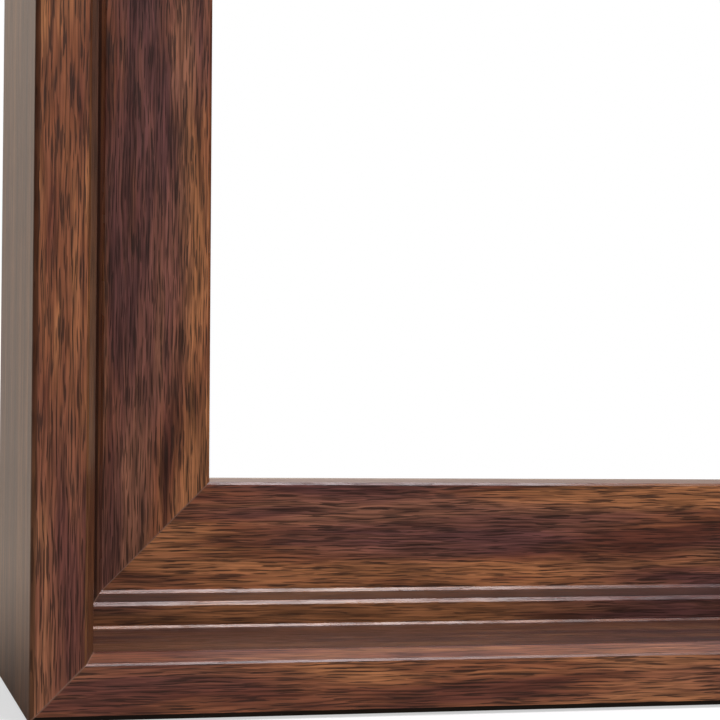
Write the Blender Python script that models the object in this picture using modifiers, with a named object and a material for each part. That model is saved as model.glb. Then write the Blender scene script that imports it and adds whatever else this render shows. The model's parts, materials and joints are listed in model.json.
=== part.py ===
"""Floating frame for a deep-edge canvas.

Four mitred outer mouldings carry a stepped liner, which is seated in their rabbet from behind.
The canvas stands on the liner's ledge, with its face level with the lip and an even gap round it.
Two D-ring hangers on the back of the liner carry the frame on the wall.
X runs across the frame, Z up, and the front faces -Y.
"""

import math

import bmesh
import bpy
from mathutils import Matrix, Vector

# The canvas that the frame is made for
CANVAS_WIDTH = 0.200
CANVAS_HEIGHT = 0.250
CANVAS_DEPTH = 0.036
CANVAS_CLEARANCE = 0.0003

# Outer moulding, across its width and down its depth
LIP_WIDTH = 0.0063
BEVEL_RUN = 0.0011
BEVEL_DROP = 0.003
WALL_DRAFT = 0.0001
BACK_WALL = 0.0036
BACK_RECESS = 0.0104
OUTER_ARRIS = 0.0005
LIP_ARRIS = 0.0002
WALL_FOOT = 0.0004

# Stepped liner
STEP_WIDTH = 0.0032
COVE_DROP = 0.0030
COVE_DRAFT = 0.0012
COVE_FOOT = 0.0004
STEP_ARRIS = 0.0002
LEDGE_WIDTH = 0.0144
LEDGE_THICKNESS = 0.0076
SIGHT_RISE = 0.0006
SIGHT_SLOPE = 0.0035
SIGHT_ARRIS = 0.0003

# Holes in the ledge for the canvas screws
CANVAS_HOLE_RADIUS = 0.00225
CANVAS_HOLE_SPACING = 0.080

# V-nails in the mitres
NAIL_ARM = 0.005
NAIL_SHEET = 0.0006
LONG_NAIL = 0.007
SHORT_NAIL = 0.005

# Countersunk screws that hold the liner
LINER_SCREW_LENGTH = 0.024
LINER_SCREW_RADIUS = 0.001
LINER_SCREW_HEAD = 0.0017
LINER_SCREW_RIM = 0.0003
LINER_SCREW_INSET = 0.060
LINER_SCREW_EDGE = 0.0003
SCREW_TIP = 0.003
SCREW_GAP = 0.0001

# D-ring hangers
HANGER_DROP = 0.085
STRAP_WIDTH = 0.009
STRAP_LENGTH = 0.0225
STRAP_SHEET = 0.0007
STRAP_END_RADIUS = 0.004
RING_WIRE = 0.0018
RING_LEG = 0.004
RING_BEND = 0.0014
RING_PLAY = 0.0004
RING_WALL_GAP = 0.0008
HANGER_SCREW_END = 0.0055
HANGER_SCREW_LENGTH = 0.008
HANGER_SCREW_RADIUS = 0.0014
HANGER_SCREW_HEAD = 0.003
HANGER_SCREW_HEAD_HEIGHT = 0.002

# Clearances and facets
SEAT_GAP = 0.0003
MITRE_GAP = 0.0003
OVERCUT = 0.002
WELD = 0.000001
ARC_STEPS = 3
TURN_STEPS = 16
RING_SIDES = 8
SHARP_ANGLE = math.radians(35)

# Sizes that follow from those above
WALL_EDGE = LIP_WIDTH + BEVEL_RUN
STEP_START = WALL_EDGE + WALL_DRAFT
STEP_EDGE = STEP_START + STEP_WIDTH
RECESS_EDGE = STEP_EDGE + COVE_DRAFT
LEDGE_EDGE = RECESS_EDGE + LEDGE_WIDTH
SIGHT_EDGE = LEDGE_EDGE + SIGHT_RISE
OUTER_WIDTH = CANVAS_WIDTH + 2 * (CANVAS_CLEARANCE + RECESS_EDGE)
OUTER_HEIGHT = CANVAS_HEIGHT + 2 * (CANVAS_CLEARANCE + RECESS_EDGE)
STEP_DEPTH = CANVAS_DEPTH - COVE_DROP
LINER_BACK = CANVAS_DEPTH + LEDGE_THICKNESS
FRAME_DEPTH = LINER_BACK + BACK_RECESS
LINER_OUTSIDE = BACK_WALL + SEAT_GAP
FRONT_Y = -FRAME_DEPTH / 2
LINER_BACK_Y = FRONT_Y + LINER_BACK
WIRE_RADIUS = RING_WIRE / 2
EYE_RADIUS = WIRE_RADIUS + SEAT_GAP
LOOP_RADIUS = EYE_RADIUS + STRAP_SHEET
STRAP_LEAVES = 2 * STRAP_SHEET
RING_HALF = STRAP_WIDTH / 2 + RING_PLAY + WIRE_RADIUS
HANGER_INSET = BACK_WALL + RING_WALL_GAP + RING_HALF + WIRE_RADIUS
HANGER_Y = LINER_BACK_Y + SEAT_GAP + LOOP_RADIUS
HANGER_Z = OUTER_HEIGHT - HANGER_DROP
HANGER_SCREW_DROP = STRAP_LENGTH - HANGER_SCREW_END

# Turned shapes stand on +Z, and this lays their top towards the back of the frame
TO_BACK = Matrix.Rotation(-math.pi / 2, 4, "X")

# An outline drawn across (depth, height) and given its thickness along X
ACROSS_X = Matrix(((0, 0, 1, 0), (1, 0, 0, 0), (0, 1, 0, 0), (0, 0, 0, 1)))

# Colour, roughness and metallic value of each finish
FINISHES = {
    "stained_wood": ((0.115, 0.050, 0.030), 0.42, 0.0),
    "zinc_steel": ((0.62, 0.60, 0.56), 0.35, 1.0),
    "nail_steel": ((0.34, 0.33, 0.31), 0.45, 1.0),
}


def clear_scene():
    """Empty the scene of objects."""
    for thing in list(bpy.data.objects):
        bpy.data.objects.remove(thing, do_unlink=True)


def new_collection(name):
    """A collection in the scene."""
    made = bpy.data.collections.new(name)
    bpy.context.scene.collection.children.link(made)
    return made


def new_material(name, finish):
    """A Principled material of one of the finishes."""
    colour, roughness, metallic = FINISHES[finish]
    made = bpy.data.materials.new(name)
    made.use_nodes = True
    shader = made.node_tree.nodes["Principled BSDF"]
    shader.inputs["Base Color"].default_value = (*colour, 1.0)
    shader.inputs["Roughness"].default_value = roughness
    shader.inputs["Metallic"].default_value = metallic
    made.diffuse_color = (*colour, 1.0)
    return made


def add_part(name, data, finish, home, place):
    """One named sub-part at its place; copies of a repeated piece share its mesh and material."""
    if not data.materials:
        data.materials.append(new_material(name + "_finish", finish))
    part = bpy.data.objects.new(name, data)
    part.matrix_world = place
    home.objects.link(part)
    return part


def add_cutter(name, mesh, home):
    """A wire guide that is cut out of the parts."""
    cutter = bpy.data.objects.new(name, mesh)
    cutter.hide_render = True
    cutter.display_type = "WIRE"
    home.objects.link(cutter)
    return cutter


def cut(part, cutter):
    """Take a cutter out of a part."""
    bore = part.modifiers.new(cutter.name, "BOOLEAN")
    bore.operation = "DIFFERENCE"
    bore.solver = "EXACT"
    bore.object = cutter


def tidy_mesh(mesh):
    """Weld a mesh's loose caps and turn its faces out."""
    shape = bmesh.new()
    shape.from_mesh(mesh)
    bmesh.ops.remove_doubles(shape, verts=shape.verts, dist=WELD)
    bmesh.ops.recalc_face_normals(shape, faces=shape.faces)
    shape.to_mesh(mesh)
    shape.free()
    return mesh


def evaluated_mesh(guide):
    """The mesh of a guide object with its curve or modifiers worked out; the guide is removed."""
    bpy.context.scene.collection.objects.link(guide)
    graph = bpy.context.evaluated_depsgraph_get()
    mesh = bpy.data.meshes.new_from_object(guide.evaluated_get(graph))
    bpy.data.objects.remove(guide, do_unlink=True)
    return tidy_mesh(mesh)


def filleted(corners):
    """Outline points of corners (x, y, radius), with each radius as a short arc."""
    points = []
    for place, (x, y, radius) in enumerate(corners):
        corner = Vector((x, y))
        if radius == 0:
            points.append(corner)
            continue
        back = (Vector(corners[place - 1][:2]) - corner).normalized()
        ahead = (Vector(corners[(place + 1) % len(corners)][:2]) - corner).normalized()
        half = back.angle(ahead) / 2
        centre = corner + (back + ahead).normalized() * radius / math.sin(half)
        start = corner + back * radius / math.tan(half) - centre
        end = corner + ahead * radius / math.tan(half) - centre
        first = math.atan2(start.y, start.x)
        sweep = math.atan2(start.x * end.y - start.y * end.x, start.dot(end))
        angles = [first + sweep * step / ARC_STEPS for step in range(ARC_STEPS + 1)]
        points += [centre + radius * Vector((math.cos(angle), math.sin(angle))) for angle in angles]
    return points


def arc(radius, first, last, steps):
    """Points (x, y) on a circle about the origin, from one angle to another in degrees."""
    angles = [math.radians(first + (last - first) * step / steps) for step in range(steps + 1)]
    return [(radius * math.cos(angle), radius * math.sin(angle)) for angle in angles]


def dome(radius, base, height):
    """Profile (radius, height) of a round crown, from its top out and down to its rim."""
    return [(radius * math.sin(angle), base + height * math.cos(angle))
            for angle in (math.radians(90 * step / ARC_STEPS) for step in range(ARC_STEPS + 1))]


def prism(outlines, thickness):
    """Mesh of a flat outline, with any holes, given its thickness along Z about the middle."""
    curve = bpy.data.curves.new("outline", "CURVE")
    curve.dimensions = "2D"
    curve.fill_mode = "BOTH"
    curve.extrude = thickness / 2
    for outline in outlines:
        spline = curve.splines.new("POLY")
        spline.points.add(len(outline) - 1)
        spline.use_cyclic_u = True
        for point, (x, y) in zip(spline.points, outline):
            point.co = (x, y, 0.0, 1.0)
    return evaluated_mesh(bpy.data.objects.new("outline", curve))


def turned(profile):
    """Mesh of a profile (radius, height) turned about Z, drawn down its outer side."""
    mesh = bpy.data.meshes.new("profile")
    edges = [(place, place + 1) for place in range(len(profile) - 1)]
    mesh.from_pydata([(radius, 0.0, height) for radius, height in profile], edges, [])
    guide = bpy.data.objects.new("profile", mesh)
    lathe = guide.modifiers.new("lathe", "SCREW")
    lathe.steps = TURN_STEPS
    lathe.render_steps = TURN_STEPS
    lathe.use_merge_vertices = True
    lathe.merge_threshold = WELD
    made = evaluated_mesh(guide)
    made.shade_smooth()
    made.set_sharp_from_angle(angle=SHARP_ANGLE)
    return made


def copies(mesh, places, name):
    """One mesh that holds a separate copy of a shape at each place."""
    shape = bmesh.new()
    for place in places:
        before = set(shape.verts)
        shape.from_mesh(mesh)
        added = [vert for vert in shape.verts if vert not in before]
        bmesh.ops.transform(shape, matrix=place, verts=added)
    made = bpy.data.meshes.new(name)
    shape.to_mesh(made)
    shape.free()
    return made


def frame_sides():
    """Name, outer length and placement of the four sides.

    On a side, X runs inwards from the outer edge, Y back from the lip, and Z along the side.
    """
    middles = (
        ("left_stile", OUTER_HEIGHT, 0, (-OUTER_WIDTH / 2, OUTER_HEIGHT / 2)),
        ("right_stile", OUTER_HEIGHT, 180, (OUTER_WIDTH / 2, OUTER_HEIGHT / 2)),
        ("top_rail", OUTER_WIDTH, 90, (0.0, OUTER_HEIGHT)),
        ("bottom_rail", OUTER_WIDTH, -90, (0.0, 0.0)),
    )
    for name, length, turn, (x, z) in middles:
        placed = Matrix.Translation((x, FRONT_Y, z)) @ Matrix.Rotation(math.radians(turn), 4, "Y")
        yield name, length, placed


def frame_corners(inset, depth):
    """Name and placement of each corner, on the mitre line, with X and Z along the two sides."""
    x = OUTER_WIDTH / 2 - inset
    low, high = inset, OUTER_HEIGHT - inset
    corners = (("lower_left", 0, -x, low), ("lower_right", -90, x, low),
               ("upper_right", 180, x, high), ("upper_left", 90, -x, high))
    for name, turn, across, height in corners:
        placed = Matrix.Translation((across, FRONT_Y + depth, height))
        yield name, placed @ Matrix.Rotation(math.radians(turn), 4, "Y")


def mitred(outline, length):
    """Mesh of a moulding cut at both ends on the mitre, just short of its neighbours."""
    shape = bmesh.new()
    shape.from_mesh(prism([outline], length))
    setback = MITRE_GAP / math.sqrt(2)
    for end in (1, -1):
        sliced = bmesh.ops.bisect_plane(
            shape, geom=shape.verts[:] + shape.edges[:] + shape.faces[:], clear_outer=True,
            plane_co=(0, 0, end * (length / 2 - setback)), plane_no=(1, 0, end))
        rim = [item for item in sliced["geom_cut"] if isinstance(item, bmesh.types.BMEdge)]
        bmesh.ops.holes_fill(shape, edges=rim)
    made = bpy.data.meshes.new("mitred")
    shape.to_mesh(made)
    shape.free()
    return tidy_mesh(made)


def outer_outline():
    """Section of the outer moulding: lip, bevel, inner wall, shoulder and the thin back wall."""
    shoulder = STEP_DEPTH - SEAT_GAP
    return filleted((
        (0.0, 0.0, OUTER_ARRIS),
        (LIP_WIDTH, 0.0, LIP_ARRIS),
        (WALL_EDGE, BEVEL_DROP, 0.0),
        (STEP_START, shoulder, WALL_FOOT),
        (STEP_START + WALL_FOOT, shoulder, 0.0),
        (STEP_START, shoulder + SEAT_GAP / 2, 0.0),
        (BACK_WALL, shoulder + SEAT_GAP / 2, 0.0),
        (BACK_WALL, FRAME_DEPTH, LIP_ARRIS),
        (0.0, FRAME_DEPTH, OUTER_ARRIS),
    ))


def liner_outline():
    """Section of the liner: thick block with its step, second wall and the thin ledge.

    The ledge ends in a sight edge that slopes back to the opening.
    """
    return filleted((
        (LINER_OUTSIDE, STEP_DEPTH, 0.0),
        (STEP_EDGE, STEP_DEPTH, STEP_ARRIS),
        (RECESS_EDGE, CANVAS_DEPTH, COVE_FOOT),
        (LEDGE_EDGE, CANVAS_DEPTH, SIGHT_ARRIS),
        (SIGHT_EDGE, CANVAS_DEPTH + SIGHT_SLOPE, 0.0),
        (SIGHT_EDGE, LINER_BACK, SIGHT_ARRIS),
        (LINER_OUTSIDE, LINER_BACK, 0.0),
    ))


def countersunk(grow, top):
    """Profile of a countersunk screw from its top down, or of its bore when grown."""
    cone = LINER_SCREW_HEAD - LINER_SCREW_RADIUS
    return (
        (0.0, top),
        (LINER_SCREW_HEAD + grow, top),
        (LINER_SCREW_HEAD + grow, -LINER_SCREW_RIM),
        (LINER_SCREW_RADIUS + grow, -LINER_SCREW_RIM - cone),
        (LINER_SCREW_RADIUS + grow, SCREW_TIP - LINER_SCREW_LENGTH - grow),
        (0.0, -LINER_SCREW_LENGTH - grow),
    )


def pan_head():
    """Profile of the hanger's pan-head screw, with the underside of its head at zero height."""
    crown = HANGER_SCREW_HEAD_HEIGHT / 2
    return dome(HANGER_SCREW_HEAD, crown, crown) + [
        (HANGER_SCREW_HEAD, 0.0),
        (HANGER_SCREW_RADIUS, 0.0),
        (HANGER_SCREW_RADIUS, SCREW_TIP - HANGER_SCREW_LENGTH),
        (0.0, -HANGER_SCREW_LENGTH),
    ]


def nail_outline(grow):
    """A V-nail from above, apex at the origin on the mitre and one arm along each side."""
    half = NAIL_SHEET / 2 + grow
    tip = NAIL_ARM + grow
    return [(-half, -half), (tip, -half), (tip, half), (half, half), (half, tip), (-half, tip)]


def nail_mesh(height, grow):
    """A V-nail standing along Y, or the slot for one when grown."""
    mesh = prism([nail_outline(grow)], height)
    mesh.transform(Matrix.Rotation(math.pi / 2, 4, "X"))
    return mesh


def liner_screw_places():
    """Name and place of each liner screw's head, a little under the back of the liner."""
    across = LINER_OUTSIDE + LINER_SCREW_EDGE + SCREW_GAP + LINER_SCREW_HEAD
    for name, length, placed in frame_sides():
        reach = length / 2 - LINER_SCREW_INSET
        along = (-reach, 0.0, reach) if name.endswith("stile") else (-reach, reach)
        for number, place in enumerate(along, start=1):
            spot = placed @ Vector((across, LINER_BACK - SEAT_GAP, place))
            yield f"{name}_screw_{number}", Matrix.Translation(spot) @ TO_BACK


def canvas_hole_places():
    """Holes through the ledge: two in each stile and one in each rail."""
    for name, _, placed in frame_sides():
        apart = CANVAS_HOLE_SPACING / 2
        along = (-apart, apart) if name.endswith("stile") else (0.0,)
        for place in along:
            spot = placed @ Vector(((RECESS_EDGE + LEDGE_EDGE) / 2, LINER_BACK, place))
            yield Matrix.Translation(spot) @ TO_BACK


def plain_bore(radius, depth):
    """Mesh of a round hole that starts above the face at zero height and runs down to a depth."""
    return turned(((0.0, OVERCUT), (radius, OVERCUT), (radius, -depth), (0.0, -depth)))


def strap_outline():
    """Side of a hanger strap, in (depth, height) from the ring's axis, and the eye in its loop."""
    leaf = STRAP_LEAVES - LOOP_RADIUS
    meet = math.degrees(math.acos(leaf / LOOP_RADIUS))
    loop = arc(LOOP_RADIUS, 180, -meet, TURN_STEPS)
    eye = arc(EYE_RADIUS, 0, 360, TURN_STEPS)[:-1]
    return [[(-LOOP_RADIUS, -STRAP_LENGTH), *loop, (leaf, -STRAP_LENGTH)], eye]


def strap_mesh():
    """A folded strap with a rounded lower end, its ring's axis at the origin."""
    mesh = prism(strap_outline(), STRAP_WIDTH)
    mesh.transform(ACROSS_X)
    shape = bmesh.new()
    shape.from_mesh(mesh)
    corners = [edge for edge in shape.edges
               if all(vert.co.z < WELD - STRAP_LENGTH for vert in edge.verts)
               and abs(edge.verts[0].co.x - edge.verts[1].co.x) < WELD]
    bmesh.ops.bevel(shape, geom=corners, offset=STRAP_END_RADIUS, segments=2 * ARC_STEPS,
                    profile=0.5, affect="EDGES")
    shape.to_mesh(mesh)
    shape.free()
    return mesh


def ring_curve():
    """A D-ring hanging from the origin, its straight bar along X, as a bent wire."""
    bow = [(x, -RING_LEG - y) for x, y in arc(RING_HALF, 0, 180, TURN_STEPS)]
    bar = filleted([(-RING_HALF, -RING_LEG, 0.0), (-RING_HALF, 0.0, RING_BEND),
                    (RING_HALF, 0.0, RING_BEND), (RING_HALF, -RING_LEG, 0.0)])
    points = bow + bar[1:-1]
    curve = bpy.data.curves.new("d_ring", "CURVE")
    curve.dimensions = "3D"
    curve.bevel_depth = WIRE_RADIUS
    curve.bevel_resolution = RING_SIDES // 2 - 2
    wire = curve.splines.new("POLY")
    wire.points.add(len(points) - 1)
    wire.use_cyclic_u = True
    for point, (x, z) in zip(wire.points, points):
        point.co = (x, 0.0, z, 1.0)
    return curve


def ring_rest_angle():
    """How far a hanging ring leans out, where its bow crosses the edges of the strap."""
    crossing = RING_LEG + math.sqrt(RING_HALF ** 2 - (STRAP_WIDTH / 2) ** 2)
    return math.asin((STRAP_LEAVES + SEAT_GAP + WIRE_RADIUS - LOOP_RADIUS) / crossing)


def make_nails(parts, cutters):
    """V-nails in every mitre, and the slots that they are driven into."""
    block = (LINER_OUTSIDE + STEP_EDGE) / 2
    ledge = (RECESS_EDGE + LEDGE_EDGE) / 2
    kinds = (("outer_v_nail", BACK_WALL / 2, FRAME_DEPTH - SEAT_GAP, LONG_NAIL),
             ("block_v_nail", block, LINER_BACK - SEAT_GAP, LONG_NAIL),
             ("ledge_v_nail", ledge, LINER_BACK - SEAT_GAP, SHORT_NAIL))
    slots = {}
    for kind, inset, top, height in kinds:
        nail = nail_mesh(height, 0.0)
        for corner, place in frame_corners(inset, top - height / 2):
            add_part(f"{kind}_{corner}", nail, "nail_steel", parts, place)
        slot = nail_mesh(height + SEAT_GAP + OVERCUT, SEAT_GAP)
        middle = top + (OVERCUT - SEAT_GAP - height) / 2
        places = [place for _, place in frame_corners(inset, middle)]
        slots[kind] = add_cutter(kind + "_slots", copies(slot, places, kind + "_slots"), cutters)
    return slots


def make_liner_screws(parts, cutters):
    """The countersunk screws that hold the liner, and their bores."""
    screw = turned(countersunk(0.0, 0.0))
    for name, place in liner_screw_places():
        add_part(name, screw, "zinc_steel", parts, place)
    bore = turned(countersunk(SCREW_GAP, OVERCUT))
    places = [place for _, place in liner_screw_places()]
    return add_cutter("liner_screw_bores", copies(bore, places, "liner_screw_bores"), cutters)


def make_ledge_bores(cutters):
    """The canvas holes through the ledge, and the hanger screws' pilot holes."""
    hole = plain_bore(CANVAS_HOLE_RADIUS, LEDGE_THICKNESS + OVERCUT)
    canvas_holes = copies(hole, canvas_hole_places(), "canvas_holes")
    pilot = plain_bore(HANGER_SCREW_RADIUS + SEAT_GAP, HANGER_SCREW_LENGTH + SEAT_GAP)
    pilots = copies(pilot, [spot for _, spot in hanger_screw_places()], "hanger_pilots")
    return add_cutter("canvas_holes", canvas_holes, cutters), add_cutter("hanger_pilots", pilots, cutters)


def make_mouldings(parts, cutters):
    """The outer frame and the liner, cut for what goes into them."""
    slots = make_nails(parts, cutters)
    screw_bores = make_liner_screws(parts, cutters)
    canvas_holes, hanger_pilots = make_ledge_bores(cutters)
    for name, length, placed in frame_sides():
        outer = add_part("outer_" + name, mitred(outer_outline(), length), "stained_wood", parts, placed)
        liner = add_part("liner_" + name, mitred(liner_outline(), length), "stained_wood", parts, placed)
        for cutter in (screw_bores, slots["outer_v_nail"]):
            cut(outer, cutter)
        for cutter in (screw_bores, slots["block_v_nail"], slots["ledge_v_nail"], canvas_holes):
            cut(liner, cutter)
        if name.endswith("stile"):
            cut(liner, hanger_pilots)


def hanger_axes():
    """Side and place of the two rings' axes."""
    x = OUTER_WIDTH / 2 - HANGER_INSET
    yield "left", Matrix.Translation((-x, HANGER_Y, HANGER_Z))
    yield "right", Matrix.Translation((x, HANGER_Y, HANGER_Z))


def hanger_screw_places():
    """Side and place of the two hanger screws, with the underside of the head on the strap."""
    seat = STRAP_LEAVES - LOOP_RADIUS + SEAT_GAP
    for side, axis in hanger_axes():
        yield side, axis @ Matrix.Translation((0.0, seat, -HANGER_SCREW_DROP)) @ TO_BACK


def make_hangers(parts, cutters):
    """Straps, rings and screws of the two D-ring hangers."""
    hole = plain_bore(HANGER_SCREW_RADIUS + SEAT_GAP, STRAP_LEAVES + OVERCUT)
    holes = copies(hole, [spot for _, spot in hanger_screw_places()], "strap_holes")
    strap_holes = add_cutter("strap_holes", holes, cutters)
    lean = Matrix.Rotation(ring_rest_angle(), 4, "X")
    strap_shape, ring_shape, screw_shape = strap_mesh(), ring_curve(), turned(pan_head())
    for side, axis in hanger_axes():
        strap = add_part(f"{side}_hanger_strap", strap_shape, "zinc_steel", parts, axis)
        cut(strap, strap_holes)
        add_part(f"{side}_hanger_ring", ring_shape, "zinc_steel", parts, axis @ lean)
    for side, place in hanger_screw_places():
        add_part(f"{side}_hanger_screw", screw_shape, "zinc_steel", parts, place)


def main():
    clear_scene()
    parts = new_collection("floating_frame")
    cutters = new_collection("cutters")
    make_mouldings(parts, cutters)
    make_hangers(parts, cutters)
    size = [1000 * value for value in (OUTER_WIDTH, FRAME_DEPTH, OUTER_HEIGHT)]
    print("frame {:.1f} x {:.1f} x {:.1f} mm".format(*size))
    print(f"rings rest {math.degrees(ring_rest_angle()):.1f} degrees out from the strap")


main()
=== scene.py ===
# %% [markdown]
# # A floating frame in stained wood
#
# A floating frame holds a canvas from behind, so that the picture stands free inside it with a dark
# gap all round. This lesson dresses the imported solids: it keeps their places and sizes, models the
# mouldings and the fittings again with finer edges, and gives every piece a finish made of nodes. The
# solids could be painted as they are, but their few facets would catch the light in flat pieces.

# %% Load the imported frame
import json
import math

import bmesh
import bpy
from mathutils import Matrix, Vector


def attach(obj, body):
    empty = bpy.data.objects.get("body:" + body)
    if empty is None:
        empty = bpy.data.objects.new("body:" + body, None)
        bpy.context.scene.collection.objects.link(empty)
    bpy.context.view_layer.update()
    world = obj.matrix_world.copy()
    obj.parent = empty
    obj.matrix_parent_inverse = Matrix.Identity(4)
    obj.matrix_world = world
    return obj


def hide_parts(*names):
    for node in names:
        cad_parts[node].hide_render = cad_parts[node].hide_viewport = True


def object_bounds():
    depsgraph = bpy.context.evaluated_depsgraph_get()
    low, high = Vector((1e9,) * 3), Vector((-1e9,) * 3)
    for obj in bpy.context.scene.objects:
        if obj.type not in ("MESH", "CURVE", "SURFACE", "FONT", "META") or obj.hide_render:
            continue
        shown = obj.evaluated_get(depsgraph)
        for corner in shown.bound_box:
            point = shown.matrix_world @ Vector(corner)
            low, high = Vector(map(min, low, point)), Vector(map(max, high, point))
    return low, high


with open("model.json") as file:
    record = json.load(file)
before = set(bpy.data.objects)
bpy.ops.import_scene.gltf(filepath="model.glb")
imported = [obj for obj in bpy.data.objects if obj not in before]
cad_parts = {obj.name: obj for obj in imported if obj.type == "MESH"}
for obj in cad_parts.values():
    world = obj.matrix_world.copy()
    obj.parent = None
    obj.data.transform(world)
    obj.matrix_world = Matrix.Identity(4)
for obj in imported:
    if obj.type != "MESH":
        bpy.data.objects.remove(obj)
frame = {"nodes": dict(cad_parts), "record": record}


def in_mm(points):
    """Points in millimetres, to a tenth."""
    return [[round(1000 * value, 1) for value in point] for point in points]


cad_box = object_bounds()
nodes = frame["nodes"]
print(len(nodes), "solids in the box", in_mm(cad_box))

# %% [markdown]
# ## Where the camera stands
#
# The picture shows only the lower left corner, from close by and a little to the left, with the eye
# just above the bottom rail. A camera could be turned by hand until the edges fit. Here its place, its
# three turns and its lens come from a fit to the corner's straight edges, in the frame's own metres.

# %% Camera
CORNER = Vector((cad_box[0][0], cad_box[0][1], 0.0))
EYE = CORNER + Vector((-0.01725, -0.21277, 0.02833))
TURN_RIGHT = math.radians(13.368)
TILT_UP = math.radians(1.941)
LEAN = math.radians(0.271)
SENSOR = 36.0
FOCAL_LENGTH = 95.14
SHIFT = (0.05, 0.06)
NEAREST = 0.01

lens = bpy.data.cameras.new("camera")
lens.sensor_width = SENSOR
lens.lens = FOCAL_LENGTH
lens.shift_x, lens.shift_y = SHIFT
lens.clip_start = NEAREST
camera = bpy.data.objects.new("camera", lens)
camera.matrix_world = (Matrix.Translation(EYE) @ Matrix.Rotation(-TURN_RIGHT, 4, "Z")
                       @ Matrix.Rotation(math.pi / 2 + TILT_UP, 4, "X") @ Matrix.Rotation(LEAN, 4, "Z"))
bpy.context.scene.collection.objects.link(camera)
bpy.context.scene.camera = camera
bpy.context.scene.view_settings.view_transform = "Standard"
print("camera", round(1000 * (EYE - CORNER).length), "mm from the corner")

# %% [markdown]
# ## Nodes in a few words
#
# Every finish below is a small graph of shader nodes. Such a graph can be drawn by hand in the shader
# editor. In a script a few helpers keep it short: they add a node and set its sockets, where a socket of
# another node is linked and a plain value is written in.

# %% Node helpers
def fill(tree, node, inputs):
    """Link or set a node's inputs, named by their label or their number."""
    for name, value in inputs.items():
        socket = node.inputs[name]
        if isinstance(value, bpy.types.NodeSocket):
            tree.links.new(value, socket)
        else:
            socket.default_value = value


def add(tree, kind, inputs=None, **settings):
    """A shader node with its settings and inputs."""
    node = tree.nodes.new("ShaderNode" + kind)
    for name, value in settings.items():
        setattr(node, name, value)
    fill(tree, node, inputs or {})
    return node


def maths(tree, operation, *values):
    """The result of a math node."""
    return add(tree, "Math", dict(enumerate(values)), operation=operation).outputs[0]


print("nodes can be added and linked")

# %% [markdown]
# ## Mixing values and colours
#
# Patterns are made by stretching a value from one range to another and by mixing two values or colours
# with it. A colour ramp could do both, but its stops are harder to write in a script than two numbers.

# %% Mixing helpers
def spread(tree, value, low, high, first=0.0, last=1.0):
    """A value taken smoothly from one range to another."""
    inputs = {"Value": value, "From Min": low, "From Max": high, "To Min": first, "To Max": last}
    return add(tree, "MapRange", inputs, interpolation_type="SMOOTHSTEP").outputs["Result"]


def between(tree, share, first, second):
    """A number that goes from the first to the second with the share."""
    node = add(tree, "Mix", data_type="FLOAT")
    fill(tree, node, {0: share, 2: first, 3: second})
    return node.outputs[0]


def mixed(tree, share, first, second):
    """A colour that goes from the first to the second with the share."""
    node = add(tree, "Mix", data_type="RGBA")
    fill(tree, node, {0: share, 6: first, 7: second})
    return node.outputs[2]


def scaled(tree, source, factor):
    """A colour or vector times one number, or times a vector axis by axis."""
    if isinstance(factor, tuple):
        return add(tree, "VectorMath", {0: source, 1: factor}, operation="MULTIPLY").outputs[0]
    return add(tree, "VectorMath", {0: source, "Scale": factor}, operation="SCALE").outputs[0]


def parts(tree, vector):
    """The X, Y and Z of a vector."""
    return add(tree, "SeparateXYZ", {0: vector}).outputs


def grey(value):
    """A grey colour of one value."""
    return (value, value, value, 1.0)


def new_finish(name):
    """A node material, its tree and its Principled shader."""
    finish = bpy.data.materials.new(name)
    finish.use_nodes = True
    return finish, finish.node_tree, finish.node_tree.nodes["Principled BSDF"]


print("values and colours can be mixed")

# %% [markdown]
# ## Floor
#
# The frame is shown on plain white. A studio would use a sheet of pale paper, which takes a soft shadow,
# and a wide disc does the same here. More light would make it white but would bleach the wood, so the
# paper glows a little to the camera instead. To reflections it is dark in front of the frame, because a
# pale floor there would lay a haze over the lacquer, and warm behind it, where it meets the wall.

# %% Floor
FLOOR_RADIUS = 4.0
FLOOR_SIDES = 64
FLOOR_DROP = 0.0003
PAPER_ROUGHNESS = 0.9
PAPER = 0.42
PAPER_GLOW = 0.58
MIRRORED_GLOW = (0.02, 0.5)
DARK_PAPER = (0.06, 0.045, 0.03, 1.0)
WARM_PAPER = (0.42, 0.33, 0.25, 1.0)
WARM_WALL = (1.0, 0.85, 0.72, 1.0)
PAPER_TURNS_WARM = (-0.1, 0.15)
GLOW_GROWS = (-0.1, 0.4)

shape = bmesh.new()
bmesh.ops.create_circle(shape, cap_ends=True, segments=FLOOR_SIDES, radius=FLOOR_RADIUS,
                        matrix=Matrix.Translation((0.0, 0.0, -FLOOR_DROP)))
floor_mesh = bpy.data.meshes.new("floor")
shape.to_mesh(floor_mesh)
shape.free()
floor = bpy.data.objects.new("floor", floor_mesh)
bpy.context.scene.collection.objects.link(floor)

floor_finish, tree, shader = new_finish("floor_paper")
shader.inputs["Roughness"].default_value = PAPER_ROUGHNESS
path = add(tree, "LightPath").outputs
clear = maths(tree, "MAXIMUM", path["Is Camera Ray"], path["Is Transmission Ray"])
spot = parts(tree, add(tree, "TexCoord").outputs["Object"])
paper = mixed(tree, spread(tree, spot["Y"], *PAPER_TURNS_WARM), DARK_PAPER, WARM_PAPER)
glow = spread(tree, spot["Y"], *GLOW_GROWS, *MIRRORED_GLOW)
mirrored = maths(tree, "MULTIPLY", path["Is Glossy Ray"], glow)
fill(tree, shader, {"Base Color": mixed(tree, path["Is Glossy Ray"], grey(PAPER), paper),
                    "Emission Color": mixed(tree, path["Is Glossy Ray"], grey(1.0), WARM_WALL),
                    "Emission Strength": maths(tree, "MULTIPLY_ADD", clear, PAPER_GLOW, mirrored)})
floor_mesh.materials.append(floor_finish)
print("floor disc", 2 * FLOOR_RADIUS, "m across")

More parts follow.
